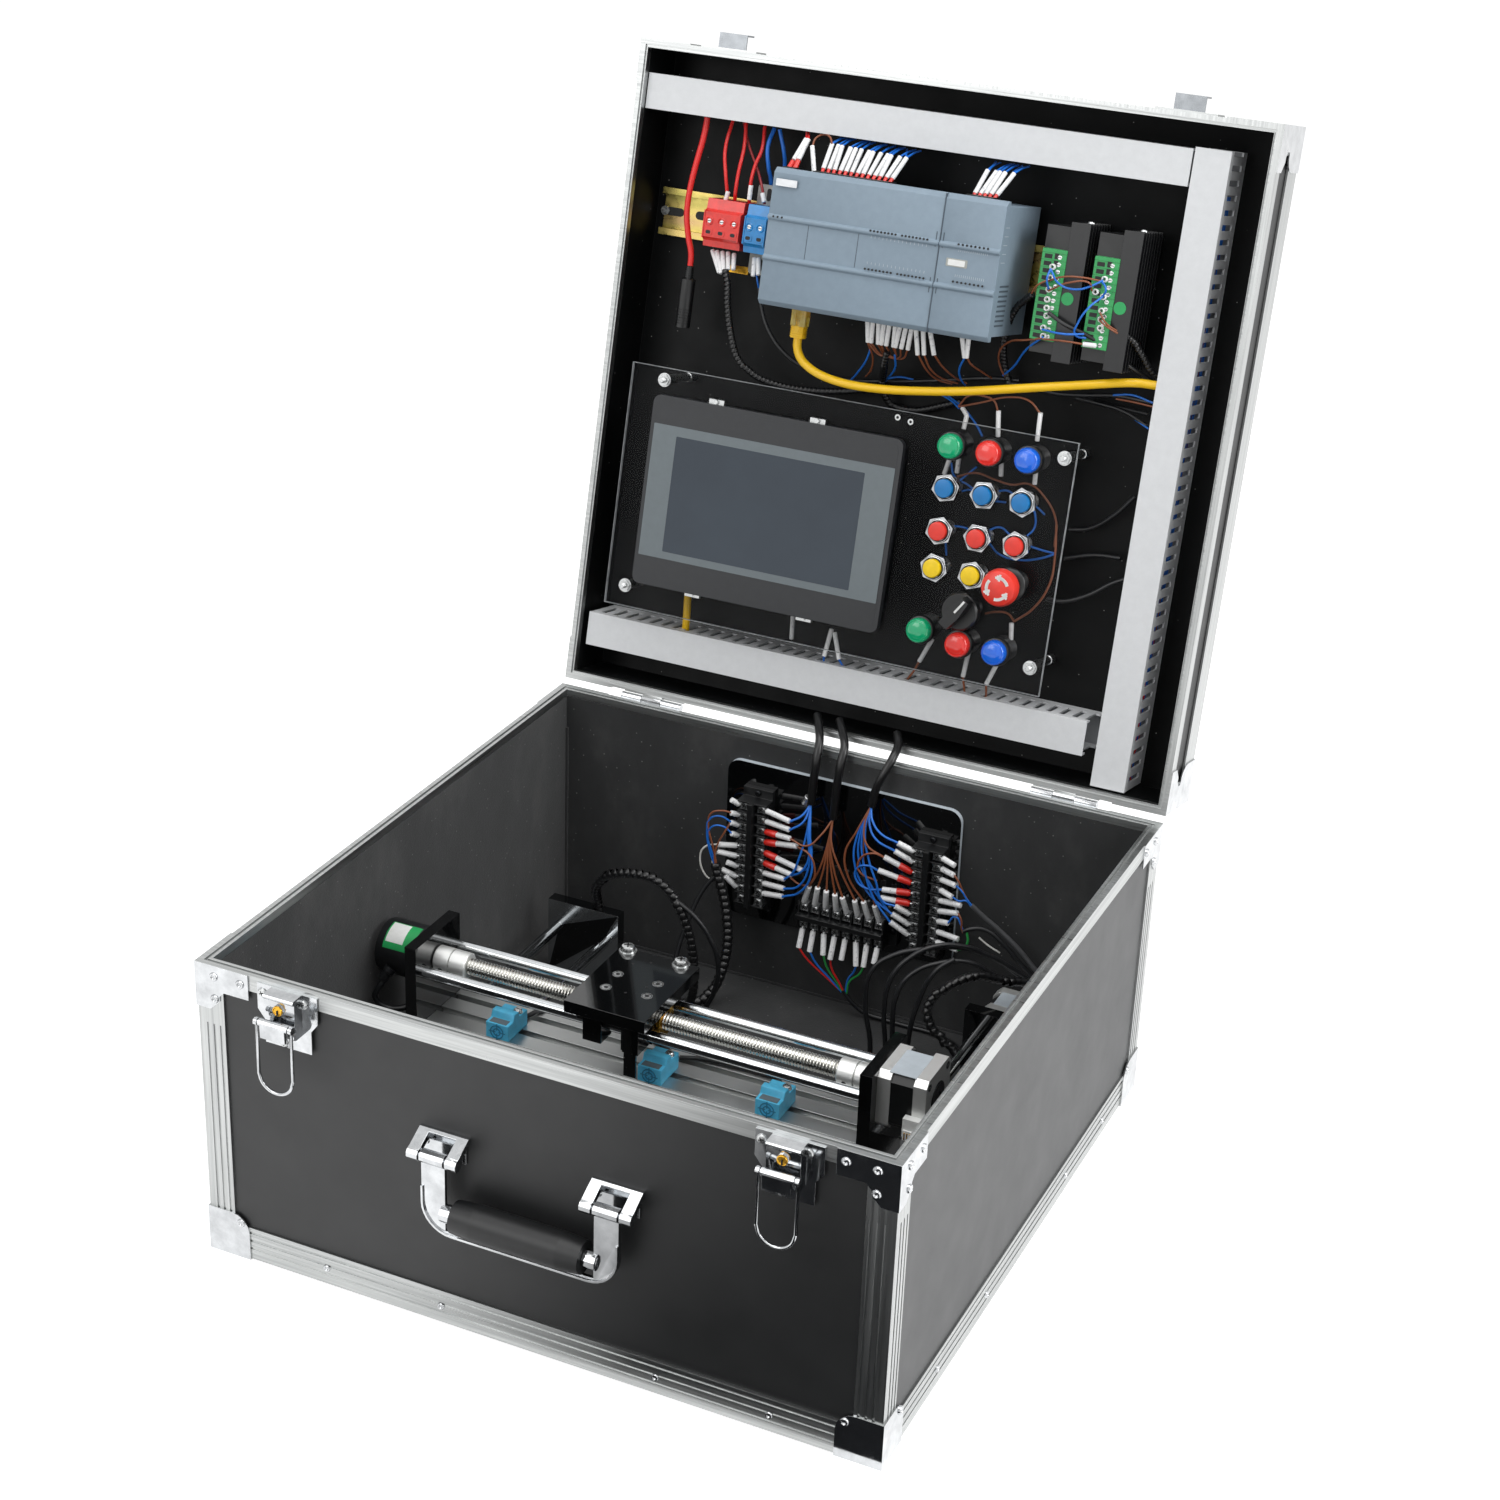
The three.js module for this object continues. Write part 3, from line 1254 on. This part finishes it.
function controllerBlock([x0, x1]) {
  const { foot, top, front, coverThick, shoulder, bead, recessDeep, recessBack, recessSide } = CONTROLLER;
  const coverBack = -front + coverThick;
  const side = outline([
    [railFront, foot + shoulder],
    [coverBack, foot + shoulder],
    [coverBack, foot],
    [-front + shoulder, foot],
    [-front, foot + shoulder],
    [-front, top - shoulder],
    [-front + shoulder, top],
    [coverBack, top],
    [coverBack, top - shoulder],
    [railFront, top - shoulder],
  ]);
  const body = prism('x', side, [x0, x1]);
  const beads = BEAD_SHARES.map((share) => {
    const z = top - share * (top - foot);
    return rod('x', bead, [x0, x1], [-front, z], SMALL_SIDES);
  });
  const wells = [[foot, -1], [top, 1]].map(([edge, up]) => {
    const inner = edge - up * (shoulder + recessDeep);
    const across = [x0 + recessSide, x1 - recessSide];
    return block(across, [coverBack, coverBack + recessBack], [inner, edge + up * OVERRUN]);
  });
  return cut(join(body, ...beads), ...wells);
}

function buildController(lid) {
  const { left, split, right, joint } = CONTROLLER;
  piece('controller', controllerBlock([left, split]), GREY_PLASTIC, lid);
  piece('controller_module', controllerBlock([split + joint, right]), GREY_PLASTIC, lid);
}

function buildFeedTerminals(lid) {
  const f = FEED;
  const bed = block([f.left, f.right], [-f.baseFront, railFront], [f.foot, f.top]);
  const red = block([f.left, f.middle], [f.front, -f.baseFront], [f.foot, f.top]);
  const blue = block([f.blueLeft, f.right], [f.front, -f.baseFront], [f.foot, f.top]);
  const tag = block([f.tagLeft, f.tagRight], [-f.tagFront, railFront], [f.tagFoot, f.tagTop]);
  piece('feed_terminals', join(bed, red, blue, tag), RED_PLASTIC, lid);
}

function driver(left) {
  const d = DRIVER;
  const right = left + d.wide;
  const back = railFront;
  const housingTall = [d.foot + d.caseInset, d.top - d.caseInset];
  const housing = block([left, left + d.caseWide + OVERRUN], [-d.caseFront, back], housingTall);
  const sink = block([left + d.caseWide, right - d.fin], [-d.front, back], [d.foot, d.top]);
  const pitch = (back + d.front - d.finThick) / (d.fins - 1);
  const fins = [...Array(d.fins).keys()].map((k) => {
    const y = -d.front + k * pitch;
    return block([left + d.caseWide, right], [y, y + d.finThick], [d.foot, d.top]);
  });
  const stripX = [left + d.stripLeft, left + d.stripLeft + d.stripWide - RUNNING_GAP * 2];
  const strip = block(stripX, [-d.stripFront, -d.caseFront], [d.stripFoot, d.stripTop]);
  return join(housing, sink, ...fins, strip);
}

function buildDrivers(lid) {
  DRIVER.lefts.forEach((left, k) => piece(`driver_${k + 1}`, driver(left), BLACK_METAL, lid));
}

// Clear panel with what is fixed in it
const panelFace = -PANEL.front;
const panelBack = panelFace + PANEL.sheet;

function panelStandoff([x, z]) {
  const post = rod('y', PANEL.standoff, [panelBack, lidFloor - RUNNING_GAP], [x, z], HEX);
  const head = rod('y', PANEL.head, [panelFace - PANEL.headOut, panelFace], [x, z], SMALL_SIDES);
  return join(post, head);
}

function controlSeat([x, z], collar, collarOut, nut) {
  const front = rod('y', collar, [panelFace - collarOut, panelFace], [x, z], CONTROL_SIDES);
  const ring = rod('y', nut, [panelFace - CONTROL.nutOut, panelFace], [x, z], HEX);
  const body = rod('y', CONTROL.body, [panelBack, panelBack + CONTROL.bodyIn], [x, z], SMALL_SIDES);
  return join(front, ring, body);
}

function screenCutout() {
  const gap = SCREEN.inset - RUNNING_GAP;
  return block(
    [SCREEN.left + gap, SCREEN.right - gap],
    [panelFace - OVERRUN, panelBack + OVERRUN],
    [SCREEN.foot + gap, SCREEN.top - gap],
  );
}

function controlPanel() {
  const sheet = block([PANEL.left, PANEL.right], [panelFace, panelBack], [PANEL.foot, PANEL.top]);
  const lamps = LAMPS.map((place) => controlSeat(place, CONTROL.lens, CONTROL.lensOut, CONTROL.nut));
  const buttonSeat = ([, x, z]) => controlSeat([x, z], CONTROL.collar, CONTROL.collarOut, CONTROL.nut);
  const seats = BUTTONS.map(buttonSeat);
  const bores = BUTTONS.map(([, x, z]) => {
    const deep = panelFace + CONTROL.capIn + CONTROL.travel + RUNNING_GAP;
    const span = [panelFace - CONTROL.collarOut - OVERRUN, deep];
    return rod('y', CONTROL.cap + RUNNING_GAP, span, [x, z], CONTROL_SIDES);
  });
  const stopSeat = controlSeat([STOP.x, STOP.z], STOP.collar, STOP.collarOut, STOP.collar + CONTROL.nutOut);
  const stopDeep = panelBack + CONTROL.bodyIn / 2;
  const stopSpan = [panelFace - STOP.collarOut - OVERRUN, stopDeep];
  const stopBore = rod('y', STOP.stem + RUNNING_GAP, stopSpan, [STOP.x, STOP.z], CONTROL_SIDES);
  const ring = controlSeat([SELECTOR.x, SELECTOR.z], SELECTOR.ring, SELECTOR.ringOut, SELECTOR.ring);
  const spigotSpan = [panelFace - SELECTOR.ringOut - OVERRUN, stopDeep];
  const spigotPlace = [SELECTOR.x, SELECTOR.z];
  const spigotBore = rod('y', SELECTOR.spigot + RUNNING_GAP, spigotSpan, spigotPlace, CONTROL_SIDES);
  const posts = STANDOFFS.map(panelStandoff);
  const whole = join(sheet, ...lamps, ...seats, stopSeat, ring, ...posts);
  return cut(whole, screenCutout(), ...bores, stopBore, spigotBore);
}

function touchScreen() {
  const s = SCREEN;
  const front = panelFace - s.proud - RUNNING_GAP;
  const frame = roundedRectangle([s.left, s.right], [s.foot, s.top], s.corner);
  const bezel = prism('y', frame, [front, panelFace - RUNNING_GAP]);
  const back = panelBack + s.bodyDeep;
  const bodyFront = front + s.proud / 2;
  const bodyTall = [s.foot + s.inset, s.top - s.inset];
  const body = block([s.left + s.inset, s.right - s.inset], [bodyFront, back], bodyTall);
  const glassDeep = [front - OVERRUN, front + s.glassDeep];
  const glass = block([s.glassLeft, s.glassRight], glassDeep, [s.glassFoot, s.glassTop]);
  return cut(join(bezel, body), glass);
}

function buttonCap(x, z) {
  const span = [panelFace - CONTROL.capOut, panelFace + CONTROL.capIn];
  return rod('y', CONTROL.cap, span, [x, z], CONTROL_SIDES);
}

function stopButton() {
  const s = STOP;
  const front = panelFace - s.headOut;
  const [crownShare, rimShare] = s.headShares;
  const [shoulderShare, bellyShare] = s.thickShares;
  const profile = [
    [0, 0],
    [s.head * crownShare, 0],
    [s.head * rimShare, s.headThick * shoulderShare],
    [s.head, s.headThick * bellyShare],
    [s.head * rimShare, s.headThick],
    [0, s.headThick],
  ];
  const lathe = new THREE.LatheGeometry(profile.map(([r, a]) => new THREE.Vector2(r, a)), ROUND_SIDES);
  const head = toSolid(lathe.translate(s.x, front, s.z));
  return join(head, rod('y', s.stem, [front + s.headThick / 2, panelBack], [s.x, s.z], CONTROL_SIDES));
}

function selectorKnob() {
  const s = SELECTOR;
  const face = panelFace - s.ringOut - RUNNING_GAP;
  const disc = rod('y', s.knob, [panelFace - s.knobOut, face], [s.x, s.z]);
  const tall = [s.z - s.knob, s.z + s.knob];
  const grip = block([s.x - s.grip, s.x + s.grip], [panelFace - s.gripOut, face], tall);
  return join(disc, grip, rod('y', s.spigot, [face - OVERRUN, panelBack], [s.x, s.z], CONTROL_SIDES));
}

function buildPanel(lid) {
  piece('control_panel', controlPanel(), CLEAR_ACRYLIC, lid);
  piece('touch_screen', touchScreen(), GRIP_PLASTIC, lid);
  const finishes = { blue: BLUE_PLASTIC, red: RED_PLASTIC, yellow: YELLOW_PLASTIC };
  for (const [name, x, z] of BUTTONS) {
    piece(name, buttonCap(x, z), finishes[name.split('_')[1]], lid);
  }
  piece('stop_button', stopButton(), RED_PLASTIC, lid);
  piece('selector_knob', selectorKnob(), GRIP_PLASTIC, lid);
}

// Leads on the lid
function networkLead() {
  const n = NETWORK;
  const [x, y] = n.route[0];
  const wide = [x - n.plugWide / 2, x + n.plugWide / 2];
  const plugTop = CONTROLLER.foot - RUNNING_GAP;
  const plug = block(wide, [y - n.plugDeep / 2, y + n.plugDeep / 2], [plugTop - n.plugTall, plugTop]);
  return join(plug, tube(n.route, n.radius, WIRE_SIDES, 44));
}

function buildLidLeads(lid) {
  piece('network_lead', networkLead(), YELLOW_PLASTIC, lid);
  piece('dc_lead', tube(DC.route, DC.radius, WIRE_SIDES, 30), CORD_BLACK, lid);
  const [x, y, z] = DC.route[DC.route.length - 1];
  const top = z - RUNNING_GAP;
  const neckFoot = top - DC.neckLong;
  const neck = rod('z', DC.neck, [neckFoot, top], [x, y], SMALL_SIDES);
  const barrel = rod('z', DC.socketRadius, [neckFoot - DC.socketLong, neckFoot], [x, y], ROUND_SIDES);
  piece('dc_socket', join(neck, barrel), CORD_BLACK, lid);
}

function buildLid(parent) {
  const swing = groupIn(parent, 0, hingeY, hingeZ);
  swing.rotation.x = -OPEN_LEAN;
  const lid = groupIn(swing, 0, CASE.closedGap - HINGE.axisUp, HINGE.axisOut);
  piece('lid_boards', lidBoards(), BLACK_BOARD, lid);
  piece('lid_frame', lidFrame(), ALUMINIUM, lid);
  buildDucts(lid);
  buildRail(lid);
  buildController(lid);
  buildFeedTerminals(lid);
  buildDrivers(lid);
  buildPanel(lid);
  buildLidLeads(lid);
}

// Cables from the lid over the rims to the wiring board, gathered under the lid's bottom duct
function buildHarness(base) {
  const strands = HARNESS_ROUTES.map((route) => tube(route, HARNESS.radius, WIRE_SIDES, 20));
  const ends = HARNESS_ROUTES.map((route) => route[0]);
  const xs = ends.map(([x]) => x);
  const gather = rod('x', HARNESS.radius, [Math.min(...xs), Math.max(...xs)], ends[0].slice(1), WIRE_SIDES);
  piece('lid_harness', join(gather, ...strands), CORD_BLACK, base);
}

buildBase(trainer);
buildLatches(trainer);
buildHandle(trainer);
buildWiringBoard(trainer);
buildFloorGuides(trainer);
buildStage(trainer);
buildLid(trainer);
buildHarness(trainer);

export default trainer;
